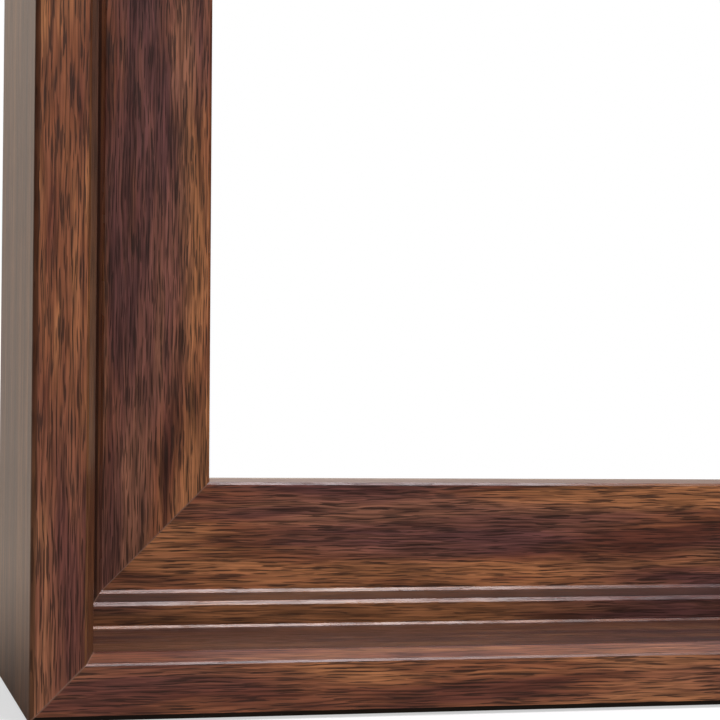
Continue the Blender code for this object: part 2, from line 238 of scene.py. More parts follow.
# %% [markdown]
# ## World
#
# The world is all that lies round the frame. One plain white world would be simplest, but dark lacquer
# mirrors it and turns grey. So it is white to the camera, a soft light to the wood, and a room to
# reflections: dark at the front, a warm wall behind the frame and a cool ceiling above.

# %% World
SOFT_LIGHT = 0.28
BACKDROP = 0.74
ROOM = 0.02
CEILING = 0.60
COOL_CEILING = (0.6, 0.85, 1.1, 1.0)
WALL_STARTS = (0.75, 1.0)
WALL_BRIGHTENS = (0.1, 0.35, 1.0, 1.6)
CEILING_STARTS = (0.35, 0.65)

world = bpy.data.worlds.new("studio")
bpy.context.scene.world = world
world.use_nodes = True
tree = world.node_tree
heading = parts(tree, add(tree, "TexCoord").outputs["Generated"])
path = add(tree, "LightPath").outputs
wall = spread(tree, heading["Y"], *WALL_STARTS, ROOM, BACKDROP)
above = spread(tree, heading["Z"], *CEILING_STARTS)
mirrored = maths(tree, "MULTIPLY_ADD", wall, spread(tree, heading["Z"], *WALL_BRIGHTENS),
                 maths(tree, "MULTIPLY", above, CEILING))
level = between(tree, path["Is Glossy Ray"], SOFT_LIGHT, mirrored)
tint = mixed(tree, path["Is Glossy Ray"], grey(1.0), mixed(tree, above, WARM_WALL, COOL_CEILING))
clear = maths(tree, "MAXIMUM", path["Is Camera Ray"], path["Is Transmission Ray"])
fill(tree, tree.nodes["Background"], {"Color": tint, "Strength": between(tree, clear, level, 1.0)})
print("world gives a soft light of", SOFT_LIGHT, "and a backdrop of", BACKDROP)

# %% [markdown]
# ## Lamps
#
# Thin bright lines run along the edges of the moulding that face upwards, so something bright is above
# it. A small lamp would be mirrored in a short piece of an edge only, so a long one hangs above and in
# front of the frame. A weaker lamp in front fills the shadows. It is hidden from reflections, so that it
# leaves no pale patch on the lacquer.

# %% Lamps
LAMP_TINT = (1.0, 0.95, 0.98)
OVERHEAD_PLACE = (0.135, -0.35, 0.78)
OVERHEAD_SIZE = (0.25, 0.8)
OVERHEAD_POWER = 8.5
FRONT_PLACE = (-0.35, -1.2, 0.5)
FRONT_AIM = (0.0, 0.0, 0.1)
FRONT_SIZE = (0.7, 0.7)
FRONT_POWER = 4.0


def softbox(name, place, aim, size, power):
    """A rectangular area lamp (across, along) at a place, turned towards a point or straight down."""
    lamp = bpy.data.lights.new(name, "AREA")
    lamp.shape = "RECTANGLE"
    lamp.size, lamp.size_y = size
    lamp.energy = power
    lamp.color = LAMP_TINT
    light = bpy.data.objects.new(name, lamp)
    light.location = place
    if aim:
        light.rotation_euler = (Vector(aim) - Vector(place)).to_track_quat("-Z", "Y").to_euler()
    bpy.context.scene.collection.objects.link(light)
    return light


softbox("overhead", OVERHEAD_PLACE, None, OVERHEAD_SIZE, OVERHEAD_POWER)
softbox("front", FRONT_PLACE, FRONT_AIM, FRONT_SIZE, FRONT_POWER).visible_glossy = False

# %% [markdown]
# ## The moulding's section
#
# All four sides have one section: a narrow lip, a small bevel, a deep wall, a step, a short sloped
# wall (the cove) and a wide ledge that ends at the sight edge. A moulder's cutters give it its shape. The
# sizes are those of the solids, in metres: u runs inwards from the outer edge and d runs back from the
# lip. Three things are finer here: the mitres are closer, the foot of the deep wall is smaller, and a
# point partway down the cove lets its upper and lower part have different tones, so that the upper part
# on the stiles can take a painted shadow.

# %% Section sizes
FRONT = cad_box[0][1]
WIDTH = cad_box[1][0] - cad_box[0][0]
HEIGHT = cad_box[1][2]
DEPTH = cad_box[1][1] - cad_box[0][1]
LIP = 0.0063
WALL_TOP = (0.0074, 0.003)
WALL_FOOT = 0.0075
STEP_DEPTH = 0.033
STEP_EDGE = 0.0107
COVE_MIDDLE = (0.01142, 0.0348)
LEDGE_FOOT = 0.0119
LEDGE_DEPTH = 0.036
LEDGE_EDGE = 0.0263
SIGHT_EDGE = 0.0269
SIGHT_DEPTH = 0.0395
LINER_BACK = 0.0436
BACK_WALL = 0.0036
SEAT_GAP = 0.0003
MITRE_GAP = 0.00003
SHOULDER = STEP_DEPTH - SEAT_GAP / 2
LINER_EDGE = BACK_WALL + SEAT_GAP

FOOT_RISE = 0.0003
FOOT_RUN = 0.0002
FOOT_END = STEP_DEPTH - SEAT_GAP
FOOT_TOP = STEP_DEPTH - SEAT_GAP - FOOT_RUN
OUTER_SECTION = ((0.0, 0.0), (LIP, 0.0), WALL_TOP, (WALL_FOOT, FOOT_TOP), (WALL_FOOT + FOOT_RISE, FOOT_END),
                 (WALL_FOOT, SHOULDER), (BACK_WALL, SHOULDER), (BACK_WALL, DEPTH), (0.0, DEPTH))
LINER_SECTION = ((LINER_EDGE, STEP_DEPTH), (STEP_EDGE, STEP_DEPTH), COVE_MIDDLE,
                 (LEDGE_FOOT, LEDGE_DEPTH), (LEDGE_EDGE, LEDGE_DEPTH), (SIGHT_EDGE, SIGHT_DEPTH),
                 (SIGHT_EDGE, LINER_BACK), (LINER_EDGE, LINER_BACK))
print("section", 1000 * SIGHT_EDGE, "mm wide and", round(1000 * DEPTH, 1), "mm deep")

# %% [markdown]
# ## A straight length of moulding
#
# A moulding starts as a straight bar. A box with loop cuts could be pushed into shape, but one face
# drawn from a few vertices and extruded is exact. Its long edges are then rounded with the bevel operator,
# each by its own amount, because the light lines in the picture are as wide as those edges. An edge of
# one segment is a flat facet, which lights up over its whole width.

# %% Bar and edges
SAME_PLACE = 1e-6


def verts_of(items):
    """The vertices among the items that an operator gives back."""
    return [item for item in items if isinstance(item, bmesh.types.BMVert)]


def straight_bar(corners, length):
    """A closed bar of a section, standing along Z about the middle."""
    shape = bmesh.new()
    end = shape.faces.new([shape.verts.new((u, d, -length / 2)) for u, d in corners])
    grown = bmesh.ops.extrude_face_region(shape, geom=[end])["geom"]
    bmesh.ops.translate(shape, verts=verts_of(grown), vec=(0.0, 0.0, length))
    bmesh.ops.recalc_face_normals(shape, faces=shape.faces)
    return shape


def round_edge(shape, corner, width, segments):
    """Round the long edge that runs through a corner of the section."""
    target = Vector(corner)
    edges = [edge for edge in shape.edges
             if all((vert.co.xy - target).length < SAME_PLACE for vert in edge.verts)]
    made = bmesh.ops.bevel(shape, geom=edges, offset=width, offset_type="OFFSET", segments=segments,
                           profile=0.5, affect="EDGES", material=-1)
    for face in made["faces"]:
        face.smooth = True


trial = straight_bar(OUTER_SECTION, HEIGHT)
print("an outer stile starts as a bar of", len(trial.faces), "faces")
trial.free()

# %% [markdown]
# ## Mitres
#
# At the corners the bars meet in mitres: both ends are sawn at 45 degrees, so that the section runs
# round the corner. A Boolean could saw them, but bisecting with a plane is cleaner, and the cut is then
# closed with a face. A hair's breadth is left between neighbours, so that no two meshes touch there.

# %% Mitres
def mitre(shape, length):
    """Cut both ends at 45 degrees, just short of the neighbours."""
    for end in (1, -1):
        cut = bmesh.ops.bisect_plane(
            shape, geom=shape.verts[:] + shape.edges[:] + shape.faces[:], clear_outer=True,
            plane_co=(0.0, 0.0, end * (length / 2 - MITRE_GAP / math.sqrt(2))), plane_no=(1.0, 0.0, end))
        rim = [item for item in cut["geom_cut"] if isinstance(item, bmesh.types.BMEdge)]
        for face in bmesh.ops.holes_fill(shape, edges=rim)["faces"]:
            face.smooth = False
    bmesh.ops.recalc_face_normals(shape, faces=shape.faces)


print("a mitre leaves", 1000 * MITRE_GAP, "mm between two bars")

# %% [markdown]
# ## Turned shapes
#
# Screws are round, and so are the holes they go into. A cylinder could be edited ring by ring, but a
# profile spun once about an axis gives head, cone, shank and tip together. Its seam is then merged.

# %% Turned shapes
ROUND_STEPS = 32
WELD = 1e-7


def turned(profile, steps=ROUND_STEPS):
    """A closed shape spun about Z from a profile of (radius, height), drawn from the top down."""
    shape = bmesh.new()
    verts = [shape.verts.new((radius, 0.0, height)) for radius, height in profile]
    edges = [shape.edges.new(pair) for pair in zip(verts, verts[1:])]
    bmesh.ops.spin(shape, geom=verts + edges, cent=(0, 0, 0), axis=(0, 0, 1), dvec=(0, 0, 0),
                   angle=2 * math.pi, steps=steps, use_merge=True, use_duplicate=False)
    bmesh.ops.remove_doubles(shape, verts=shape.verts, dist=WELD)
    bmesh.ops.recalc_face_normals(shape, faces=shape.faces)
    return shape


def as_mesh(shape, name, place=None):
    """A bmesh written to a new mesh, at a place."""
    mesh = bpy.data.meshes.new(name)
    shape.to_mesh(mesh)
    shape.free()
    if place:
        mesh.transform(place)
    return mesh


print("round shapes have", ROUND_STEPS, "sides unless more are asked for")

# %% [markdown]
# ## Boring and sharp edges
#
# Holes are cut with a Boolean modifier, whose result is kept as a plain mesh. After that the edges of
# flat faces are marked sharp, or the shading of a rounded edge would bleed into the flat wood beside it.

# %% Boring
def joined(meshes, name):
    """One mesh of several, and the several are removed."""
    shape = bmesh.new()
    for mesh in meshes:
        shape.from_mesh(mesh)
        bpy.data.meshes.remove(mesh)
    return as_mesh(shape, name)


def bored(mesh, cutter):
    """A mesh with a cutter's holes in it."""
    solid = bpy.data.objects.new("solid", mesh)
    tool = bpy.data.objects.new("tool", cutter)
    for thing in (solid, tool):
        bpy.context.scene.collection.objects.link(thing)
    bore = solid.modifiers.new("bore", "BOOLEAN")
    bore.operation = "DIFFERENCE"
    bore.solver = "EXACT"
    bore.object = tool
    graph = bpy.context.evaluated_depsgraph_get()
    result = bpy.data.meshes.new_from_object(solid.evaluated_get(graph))
    for thing in (solid, tool):
        bpy.data.objects.remove(thing, do_unlink=True)
    result.name = mesh.name
    result.materials.clear()
    return result


def crisp(mesh):
    """Mark the edges of flat faces sharp, so that only the round edges are shaded smoothly."""
    shape = bmesh.new()
    shape.from_mesh(mesh)
    for edge in shape.edges:
        edge.smooth = all(face.smooth for face in edge.link_faces)
    shape.to_mesh(mesh)
    shape.free()
    return mesh


print("meshes can be joined and bored")

# %% [markdown]
# ## Where the four sides lie
#
# Each side is made standing on its own axis, with its outer edge at zero, and then turned and moved to
# its place. One side could be made and mirrored, but then all four would have the same grain. The board
# numbers say which stretch of the grain pattern each side is cut from, so that the wood differs.

# %% Sides
SIDES = (("left_stile", HEIGHT, 0, (-WIDTH / 2, HEIGHT / 2)),
         ("right_stile", HEIGHT, 180, (WIDTH / 2, HEIGHT / 2)),
         ("top_rail", WIDTH, 90, (0.0, HEIGHT)),
         ("bottom_rail", WIDTH, -90, (0.0, 0.0)))
BOARDS = {"outer": (5.92, 0.7, 1.4, 2.84), "liner": (3.84, 9.3, 4.5, 6.68)}
TO_BACK = Matrix.Rotation(-math.pi / 2, 4, "X")


def place_of(turn, middle):
    """The move that takes a side from its own axis to its place."""
    x, z = middle
    return Matrix.Translation((x, FRONT, z)) @ Matrix.Rotation(math.radians(turn), 4, "Y")


print("sides", {name: round(1000 * length, 1) for name, length, _, _ in SIDES}, "mm long")

# %% [markdown]
# ## Screws and canvas holes
#
# The picture doesn't show the back, so its fittings follow common practice. The liner is held in the
# outer moulding by countersunk screws from behind, and larger holes in the ledge wait for canvas screws.
# Screw and bore share one profile, a little larger for the bore, so that they always fit each other.

# %% Screw and hole places
SCREW_HEAD = 0.0017
SCREW_RIM = 0.0003
SCREW_SHANK = 0.001
SCREW_LENGTH = 0.024
SCREW_TIP = 0.003
SCREW_INSET = 0.060
SCREW_PLAY = 0.0001
SCREW_EDGE = 0.0003
HOLE_RADIUS = 0.00225
HOLE_DEPTH = 0.010
HOLE_SPACING = 0.080
OVERCUT = 0.002


def screw_profile(grow, top):
    """A countersunk screw from its top down, or its bore when grown."""
    cone = SCREW_HEAD - SCREW_SHANK
    return ((0.0, top), (SCREW_HEAD + grow, top), (SCREW_HEAD + grow, -SCREW_RIM),
            (SCREW_SHANK + grow, -SCREW_RIM - cone),
            (SCREW_SHANK + grow, SCREW_TIP - SCREW_LENGTH - grow), (0.0, -SCREW_LENGTH - grow))


def screw_places():
    """Name and place of every liner screw."""
    across = LINER_EDGE + SCREW_EDGE + SCREW_PLAY + SCREW_HEAD
    for name, length, turn, middle in SIDES:
        reach = length / 2 - SCREW_INSET
        stops = (-reach, 0.0, reach) if name.endswith("stile") else (-reach, reach)
        for number, along in enumerate(stops, start=1):
            spot = place_of(turn, middle) @ Vector((across, LINER_BACK - SEAT_GAP, along))
            yield f"{name}_screw_{number}", Matrix.Translation(spot) @ TO_BACK


def hole_places():
    """Where the canvas screws would pass through the ledge."""
    for name, length, turn, middle in SIDES:
        stops = (-HOLE_SPACING / 2, HOLE_SPACING / 2) if name.endswith("stile") else (0.0,)
        for along in stops:
            spot = place_of(turn, middle) @ Vector(((LEDGE_FOOT + LEDGE_EDGE) / 2, LINER_BACK, along))
            yield Matrix.Translation(spot) @ TO_BACK


print(len(list(screw_places())), "screws and", len(list(hole_places())), "canvas holes")

# %% [markdown]
# ## V-nail slots
#
# Each mitre is drawn tight by V-nails, bent strips of steel that are pressed in from behind across the
# joint. A real nail cuts its own way. Here a slot a little wider than the nail is bored for each, so that
# no two meshes cross.

# %% V-nail slots
NAIL_SHEET = 0.0006
NAIL_ARM = 0.005
LONG_NAIL = 0.007
SHORT_NAIL = 0.005


def corner_places(inset, depth):
    """Where a V-nail sits in each of the four mitres."""
    x = WIDTH / 2 - inset
    corners = ((0, -x, inset), (-90, x, inset), (180, x, HEIGHT - inset), (90, -x, HEIGHT - inset))
    for turn, across, height in corners:
        turning = Matrix.Rotation(math.radians(turn), 4, "Y")
        yield Matrix.Translation((across, FRONT + depth, height)) @ turning


def nail_slot(height):
    """The slot of a V-nail, open at the back, along Y."""
    half = NAIL_SHEET / 2 + SEAT_GAP
    tip = NAIL_ARM + SEAT_GAP
    corners = ((-half, -half), (tip, -half), (tip, half), (half, half), (half, tip), (-half, tip))
    shape = straight_bar(corners, height + SEAT_GAP + OVERCUT)
    bmesh.ops.rotate(shape, verts=shape.verts, cent=(0, 0, 0), matrix=Matrix.Rotation(math.pi / 2, 3, "X"))
    return shape


def slots(inset, top, height):
    """The four slots of one kind of V-nail, that start at a depth from the lip."""
    middle = top + (OVERCUT - SEAT_GAP - height) / 2
    return [as_mesh(nail_slot(height), "slot", place) for place in corner_places(inset, middle)]


print("slots", round(1000 * (NAIL_SHEET + 2 * SEAT_GAP), 1), "mm wide in every mitre")

# %% [markdown]
# ## What is cut from each moulding
#
# All the holes of the outer frame are joined into one cutter, and all those of the liner into another.
# One Boolean per bar is then enough, instead of one per hole.

# %% Cutters
def screw_bores():
    """The bores of the liner screws."""
    return [as_mesh(turned(screw_profile(SCREW_PLAY, OVERCUT)), "bore", place) for _, place in screw_places()]


def outer_holes():
    """What is cut out of the outer moulding."""
    return joined(screw_bores() + slots(BACK_WALL / 2, DEPTH - SEAT_GAP, LONG_NAIL), "outer_holes")


def liner_holes():
    """What is cut out of the liner."""
    bores = screw_bores()
    hole = ((0.0, OVERCUT), (HOLE_RADIUS, OVERCUT), (HOLE_RADIUS, -HOLE_DEPTH), (0.0, -HOLE_DEPTH))
    canvas = [as_mesh(turned(hole), "hole", place) for place in hole_places()]
    block = slots((LINER_EDGE + STEP_EDGE) / 2, LINER_BACK - SEAT_GAP, LONG_NAIL)
    ledge = slots((LEDGE_FOOT + LEDGE_EDGE) / 2, LINER_BACK - SEAT_GAP, SHORT_NAIL)
    return joined(bores + canvas + block + ledge, "liner_holes")


for cutter in (outer_holes(), liner_holes()):
    print(cutter.name, "cut with", len(cutter.polygons), "faces")
    bpy.data.meshes.remove(cutter)

# %% [markdown]
# ## Stained, lacquered wood: its colours
#
# The real wood is dark and open-pored, stained unevenly and sealed with a satin lacquer. The colours are
# the stain where it is darkest, usual and warmest, a plum shade that shows through in places, the dark
# pores, the pale sight edge and the fine light line of a mitre. The pale sight edge is a painted
# highlight of the light from above, and the light line of a mitre is partly glue and partly a painted
# highlight where the joint's edges catch the light.
# One brown with a darker noise would be quicker, but such wood looks printed.

# %% Wood colours
DARK_WOOD = (0.104, 0.031, 0.018, 1.0)
MID_WOOD = (0.190, 0.065, 0.028, 1.0)
WARM_WOOD = (0.305, 0.122, 0.047, 1.0)
PLUM = (0.125, 0.056, 0.060, 1.0)
PORE = (0.020, 0.007, 0.003, 1.0)
# SIGHT is a painted highlight of the light from above on the sight edge.
SIGHT = (0.36, 0.245, 0.195, 1.0)
# SEAM is partly glue in the joint and partly a painted highlight where its edges catch the light.
SEAM = (0.26, 0.14, 0.095, 1.0)
print("wood from", DARK_WOOD[:3], "to", WARM_WOOD[:3])

# %% [markdown]
# ## Streaks and pores
#
# Fibres run along a board, so every mark in wood is long and thin. A noise texture gives such streaks
# when its coordinates are stretched by a length along the grain and a width across it, and a slow noise
# that pushes them sideways lets them wave. Open pores are short dashes: stretched cells of a Voronoi
# texture, of which only a part is kept, together with the strongest lines of a fine noise.

# %% Streaks and pores
NOISE_ROUGHNESS = 0.55
WAVES = (0.010, 0.0022, 1.0)
SWAY = 0.0005
SHORT_PORES = (0.0075, 0.00036)
SHORT_PORES_LEFT_OUT = 0.42
SHORT_PORE_BLUR = 0.2
SHORT_PORE_RIM = 0.25
SHORT_PORE_CORE = 0.15
LONG_PORES = (0.0065, 0.00022, 2.0)
LONG_PORE_EDGE = (0.565, 0.625)


def streaks(tree, source, length, width, detail):
    """Noise in streaks of a length along the grain and a width across it, in metres."""
    inputs = {"Vector": scaled(tree, source, (1 / length, 1 / width, 0.0)), "Scale": 1.0,
              "Detail": detail, "Roughness": NOISE_ROUGHNESS}
    return add(tree, "TexNoise", inputs, noise_dimensions="2D").outputs["Fac"]


def waved(tree, grain):
    """Grain coordinates that sway from side to side."""
    sway = maths(tree, "MULTIPLY", streaks(tree, grain, *WAVES), SWAY)
    sideways = add(tree, "CombineXYZ", {"Y": sway}).outputs[0]
    return add(tree, "VectorMath", {0: grain, 1: sideways}, operation="ADD").outputs[0]


def dashes(tree, source, length, width, left_out):
    """Short dashes, of which a share is left out."""
    inputs = {"Vector": scaled(tree, source, (1 / length, 1 / width, 0.0)), "Scale": 1.0}
    cells = add(tree, "TexVoronoi", inputs, voronoi_dimensions="2D").outputs
    chance = add(tree, "SeparateColor", {0: cells["Color"]}).outputs[0]
    kept = spread(tree, chance, left_out - SHORT_PORE_BLUR, left_out + SHORT_PORE_BLUR)
    core = spread(tree, cells["Distance"], SHORT_PORE_RIM, SHORT_PORE_CORE)
    return maths(tree, "MULTIPLY", core, kept)


def pore_pattern(tree, wavy, figure):
    """Where the pores are, from 0 to 1."""
    short = dashes(tree, wavy, *SHORT_PORES, SHORT_PORES_LEFT_OUT)
    fine = spread(tree, streaks(tree, wavy, *LONG_PORES), *LONG_PORE_EDGE)
    return maths(tree, "MULTIPLY", maths(tree, "MAXIMUM", short, fine), figure)


print("pores about", 1000 * SHORT_PORES[0], "mm long and", 1000 * SHORT_PORES[1], "mm wide")

# %% [markdown]
# ## The stain
#
# Stain sinks in unevenly, so the colour drifts in long patches. The narrow outer moulding shows smaller
# clouds, and the wide liner and the plain sides show long bands. Both are mixed from a slow and a
# quicker noise. Plum zones, fine fibres and, on the liner, flecks lie over them.

# %% Stain
CLOUDS = ((0.050, 0.0034, 3.0), (0.034, 0.0060, 2.0))
CLOUD_MIX = 0.5
BANDS = ((0.110, 0.0048, 3.0), (0.030, 0.0030, 2.0))
BAND_MIX = 0.35
LINER_CONTRAST = (1.2, -0.085)
DARK_TO_MID = (0.40, 0.51)
MID_TO_WARM = (0.50, 0.62)
PLUM_ZONES = (0.080, 0.012, 2.0)
PLUM_RANGE = (0.45, 0.65, 0.0, 0.45)
PLUM_ON_OUTER = 0.4
FIBRES = (0.0090, 0.00025, 2.0)
FIBRE_RANGE = (0.30, 0.70, -0.40, 0.40)
FLECKS = (0.018, 0.0017, 2.0)
FLECK_RANGE = (0.30, 0.70, -0.30, 0.30)


def stain(tree, grain, wavy, plain, wide, figure):
    """The colour of the wood without its pores."""
    clouds = between(tree, CLOUD_MIX, *(streaks(tree, wavy, *size) for size in CLOUDS))
    bands = between(tree, BAND_MIX, *(streaks(tree, wavy, *size) for size in BANDS))
    strong = maths(tree, "MULTIPLY_ADD", bands, *LINER_CONTRAST)
    broad = maths(tree, "MAXIMUM", wide, plain)
    patches = between(tree, broad, clouds, between(tree, plain, strong, bands))
    colour = mixed(tree, spread(tree, patches, *DARK_TO_MID), DARK_WOOD, MID_WOOD)
    colour = mixed(tree, spread(tree, patches, *MID_TO_WARM), colour, WARM_WOOD)
    plum = spread(tree, streaks(tree, grain, *PLUM_ZONES), *PLUM_RANGE)
    plum = maths(tree, "MULTIPLY", plum, between(tree, wide, PLUM_ON_OUTER, 1.0))
    colour = mixed(tree, plum, colour, PLUM)
    fibres = spread(tree, streaks(tree, wavy, *FIBRES), *FIBRE_RANGE)
    flecks = spread(tree, streaks(tree, wavy, *FLECKS), *FLECK_RANGE)
    flecks = maths(tree, "MULTIPLY_ADD", flecks, maths(tree, "MULTIPLY", wide, figure), 1.0)
    return scaled(tree, colour, maths(tree, "MULTIPLY_ADD", fibres, figure, flecks))


print("stain drifts over", [1000 * size[0][0] for size in (CLOUDS, BANDS)], "mm on outer moulding and liner")

# %% [markdown]
# ## The whole wood finish
#
# The grain has to turn with each side, which Object coordinates don't do. So every moulding carries its
# own coordinates in attributes: grain (along, across, and whether the wood is the wide liner), seam (how
# far a point is from the mitre), zone (how plain, how light and how round its face is, where the
# lightness is mostly painted light and shade) and pale (the sight edge, painted pale as a highlight).
# The rounded edges are made glossier, so that their light lines are clear, and the pores are slightly
# sunk and dull.

# %% Wood finish
PLAIN_LOSES = 0.4
PORE_DEPTH = 0.80
PALE_DEPTH = 0.8
SEAM_EDGE = (0.00020, 0.00008)
SEAM_DEPTH = 0.55
SATIN = (0.004, 0.0006, 2.0)
SATIN_RANGE = (0.3, 0.7, 0.32, 0.42)
PORE_DULLNESS = 0.15
PLAIN_ROUGHNESS = 0.36
GLOSS = (0.010, 0.004, 2.0)
GLOSS_RANGE = (0.3, 0.7, 0.16, 0.30)
PORE_BUMP = 0.3
PORE_SINK = 0.00004
LACQUER = 0.4


def stored(tree, name):
    """A vector attribute of the mesh."""
    return add(tree, "Attribute", attribute_name=name).outputs["Vector"]


def stained_wood():
    """The finish of all eight mouldings."""
    finish, tree, shader = new_finish("stained_wood")
    grain = stored(tree, "grain")
    wavy = waved(tree, grain)
    wide = parts(tree, grain)["Z"]
    zone = parts(tree, stored(tree, "zone"))
    plain, tone, rounded = zone["X"], zone["Y"], zone["Z"]
    figure = maths(tree, "SUBTRACT", 1.0, maths(tree, "MULTIPLY", plain, PLAIN_LOSES))

    pores = pore_pattern(tree, wavy, figure)
    colour = stain(tree, grain, wavy, plain, wide, figure)
    colour = mixed(tree, maths(tree, "MULTIPLY", pores, PORE_DEPTH), colour, PORE)
    # The zone's tone paints light and shade into the colour: darker faces in the recess and on the stiles, a
    # lighter bevel on the rails.
    colour = scaled(tree, colour, tone)
    # The sight edge is painted pale: a painted highlight of the light from above.
    pale = add(tree, "Attribute", attribute_name="pale").outputs["Fac"]
    colour = mixed(tree, maths(tree, "MULTIPLY", pale, PALE_DEPTH), colour, SIGHT)
    # A light line along each mitre: partly glue, partly a painted highlight of the joint's edges.
    seam = parts(tree, stored(tree, "seam"))
    distance = maths(tree, "SUBTRACT", seam["Y"], maths(tree, "ABSOLUTE", seam["X"]))
    joint = maths(tree, "MULTIPLY", spread(tree, distance, *SEAM_EDGE), SEAM_DEPTH)
    colour = mixed(tree, joint, colour, SEAM)

    satin = spread(tree, streaks(tree, grain, *SATIN), *SATIN_RANGE)
    satin = maths(tree, "MULTIPLY_ADD", pores, PORE_DULLNESS, satin)
    satin = between(tree, plain, satin, PLAIN_ROUGHNESS)
    glossy = spread(tree, streaks(tree, grain, *GLOSS), *GLOSS_RANGE)
    lift = maths(tree, "SUBTRACT", 1.0, pores)
    bump = add(tree, "Bump", {"Strength": PORE_BUMP, "Distance": PORE_SINK, "Height": lift}).outputs["Normal"]
    shader.inputs["Specular IOR Level"].default_value = LACQUER
    rough = between(tree, rounded, satin, glossy)
    fill(tree, shader, {"Base Color": colour, "Roughness": rough, "Normal": bump})
    return finish


wood = stained_wood()
print("wood finish has", len(wood.node_tree.nodes), "nodes")

# %% [markdown]
# ## How each face of the section looks
#
# In the picture the deep walls and the cove are darker than the lip and the ledge, the outer side shows
# less figure, and stiles and rails differ a little. Every face therefore gets a zone by its place on the
# section, with shades that were matched by the mean brightness of each strip. The zones could
# be painted by hand, but a rule gives all eight mouldings the same look.

# %% Zones
# Each zone is (plain, tone, round). Where the tone differs between faces of the same wood, it is painted
# light and shade, as noted at each zone.
RIM = 0.0008
COVE_MARGIN = 0.001
FACING_BACK = 0.7
FACING_SIDEWAYS = 0.8
# Painted shade: the outer front edge is painted darker on the stiles and nearly black on the rails, for the
# shade under the bottom rail where it stands on the floor.
RIM_SHADE_TONES = {"stile": 0.45, "rail": 0.03}
# Painted shade: the lip, step and ledge-foot edges of the stiles are painted darker, where the rails' edges
# catch the light.
STILE_EDGE_SHADE = 0.5
EDGE_TONE = 0.9
LIP_EDGE_GLOSS = 0.4
BACK_ZONE = (0.6, 0.9, 0.0)
LIP_ZONE = (0.0, 1.08, 0.0)
# Painted light and shade: the bevel faces sideways on the stiles and is painted darker as shade; on the
# rails, where the bottom rail's bevel faces up, it is painted lighter for the light from above.
BEVEL_LIGHT_AND_SHADE_ZONES = {"stile": (0.4, 0.6, 0.0), "rail": (0.4, 1.15, 0.0)}
# Painted shade: the deep wall, the step and the cove lie in the recess and are painted darker for the shade
# there.
WALL_SHADE_ZONE = (0.2, 0.52, 0.0)
OUTSIDE_ZONE = (1.0, 0.9, 0.0)
STEP_SHADE_ZONE = (0.5, 0.66, 0.0)
# Painted shadow: the upper cove on the stiles is nearly black, for the shadow cast into it by the stile's lip
# and wall.
STILE_COVE_SHADOW_ZONE = (1.0, 0.12, 0.0)
COVE_SHADE_ZONES = {"stile": (1.0, 0.62, 0.0), "rail": (1.0, 0.35, 0.0)}
LEDGE_ZONE = (0.0, 1.04, 0.0)


def edge_zone(u, d, kind):
    """The zone of a rounded edge."""
    near_lip = d < WALL_TOP[1] / 2
    # The outer front edge: painted shade.
    if u < RIM and d < RIM:
        tone = RIM_SHADE_TONES[kind]
    # Stile edges away from the light get painted shade.
    elif kind == "stile" and (near_lip or STEP_EDGE < u < LEDGE_EDGE - COVE_MARGIN):
        tone = STILE_EDGE_SHADE
    else:
        tone = EDGE_TONE
    return 1.0, tone, LIP_EDGE_GLOSS if near_lip else 1.0


def side_zone(u, d, kind):
    """The zone of a face that looks across the section."""
    # The bevel: painted light on the rails, painted shade on the stiles.
    if d < WALL_TOP[1] and u > LIP:
        return BEVEL_LIGHT_AND_SHADE_ZONES[kind]
    if STEP_DEPTH < d < LEDGE_DEPTH:
        # On the stiles the upper part of the cove takes a painted shadow.
        shaded = kind == "stile" and d < COVE_MIDDLE[1]
        return STILE_COVE_SHADOW_ZONE if shaded else COVE_SHADE_ZONES[kind]
    return WALL_SHADE_ZONE if u > LIP else OUTSIDE_ZONE


def zone_of(u, d, normal, rounded, kind):
    """How plain, how light and how round a face is, by its place on the section; the lightness is painted
    light and shade.
    """
    at_wall_foot = WALL_FOOT < u < STEP_EDGE and FOOT_TOP < d < FOOT_END
    if rounded or at_wall_foot:
        return edge_zone(u, d, kind)
    if normal.y > FACING_BACK:
        return BACK_ZONE
    if abs(normal.x) > FACING_SIDEWAYS:
        return side_zone(u, d, kind)
    if d < WALL_TOP[1]:
        return LIP_ZONE
    return STEP_SHADE_ZONE if u < STEP_EDGE else LEDGE_ZONE


print("a stile's lip has the zone", zone_of(LIP / 2, 0.0, Vector((0.0, -1.0, 0.0)), False, "stile"))

# %% [markdown]
# ## Writing the grain on the mesh
#
# Attributes are numbers stored on the vertices or faces of a mesh, which a material can read. A UV map
# would do for the grain alone, but attributes also hold the rest. All of them are made first and filled
# afterwards, because adding one can move the others in memory.

# %% Grain attributes
def write_grain(mesh, place, length, board, wide, kind):
    """Store grain and mitre coordinates on every vertex, and the zone on every face."""
    home = place.inverted()
    layers = (("grain", "FLOAT_VECTOR", "POINT"), ("seam", "FLOAT_VECTOR", "POINT"),
              ("zone", "FLOAT_VECTOR", "FACE"), ("pale", "FLOAT", "FACE"))
    for label, data_type, domain in layers:
        mesh.attributes.new(label, data_type, domain)
    grain, seam, zone, pale = (mesh.attributes[label] for label, _, _ in layers)
    for vert in mesh.vertices:
        u, d, along = home @ vert.co
        grain.data[vert.index].vector = (along + board, u + d, wide)
        seam.data[vert.index].vector = (along, length / 2 - u, 0.0)
    for face in mesh.polygons:
        u, d, _ = home @ face.center
        zone.data[face.index].vector = zone_of(u, d, home.to_3x3() @ face.normal, face.use_smooth, kind)
        # The slope of the sight edge gets the painted highlight.
        pale.data[face.index].value = 1.0 if u > LEDGE_EDGE and LEDGE_DEPTH < d < SIGHT_DEPTH else 0.0


print("boards start at", BOARDS, "m of the grain pattern")

# %% [markdown]
# ## The eight mouldings
#
# The outer moulding and the liner are made for each side in turn: bar, round edges, mitres and holes.
# Then each is told which body carries it and which solid it stands for. The edge list says how wide each
# edge is rounded and in how many segments.

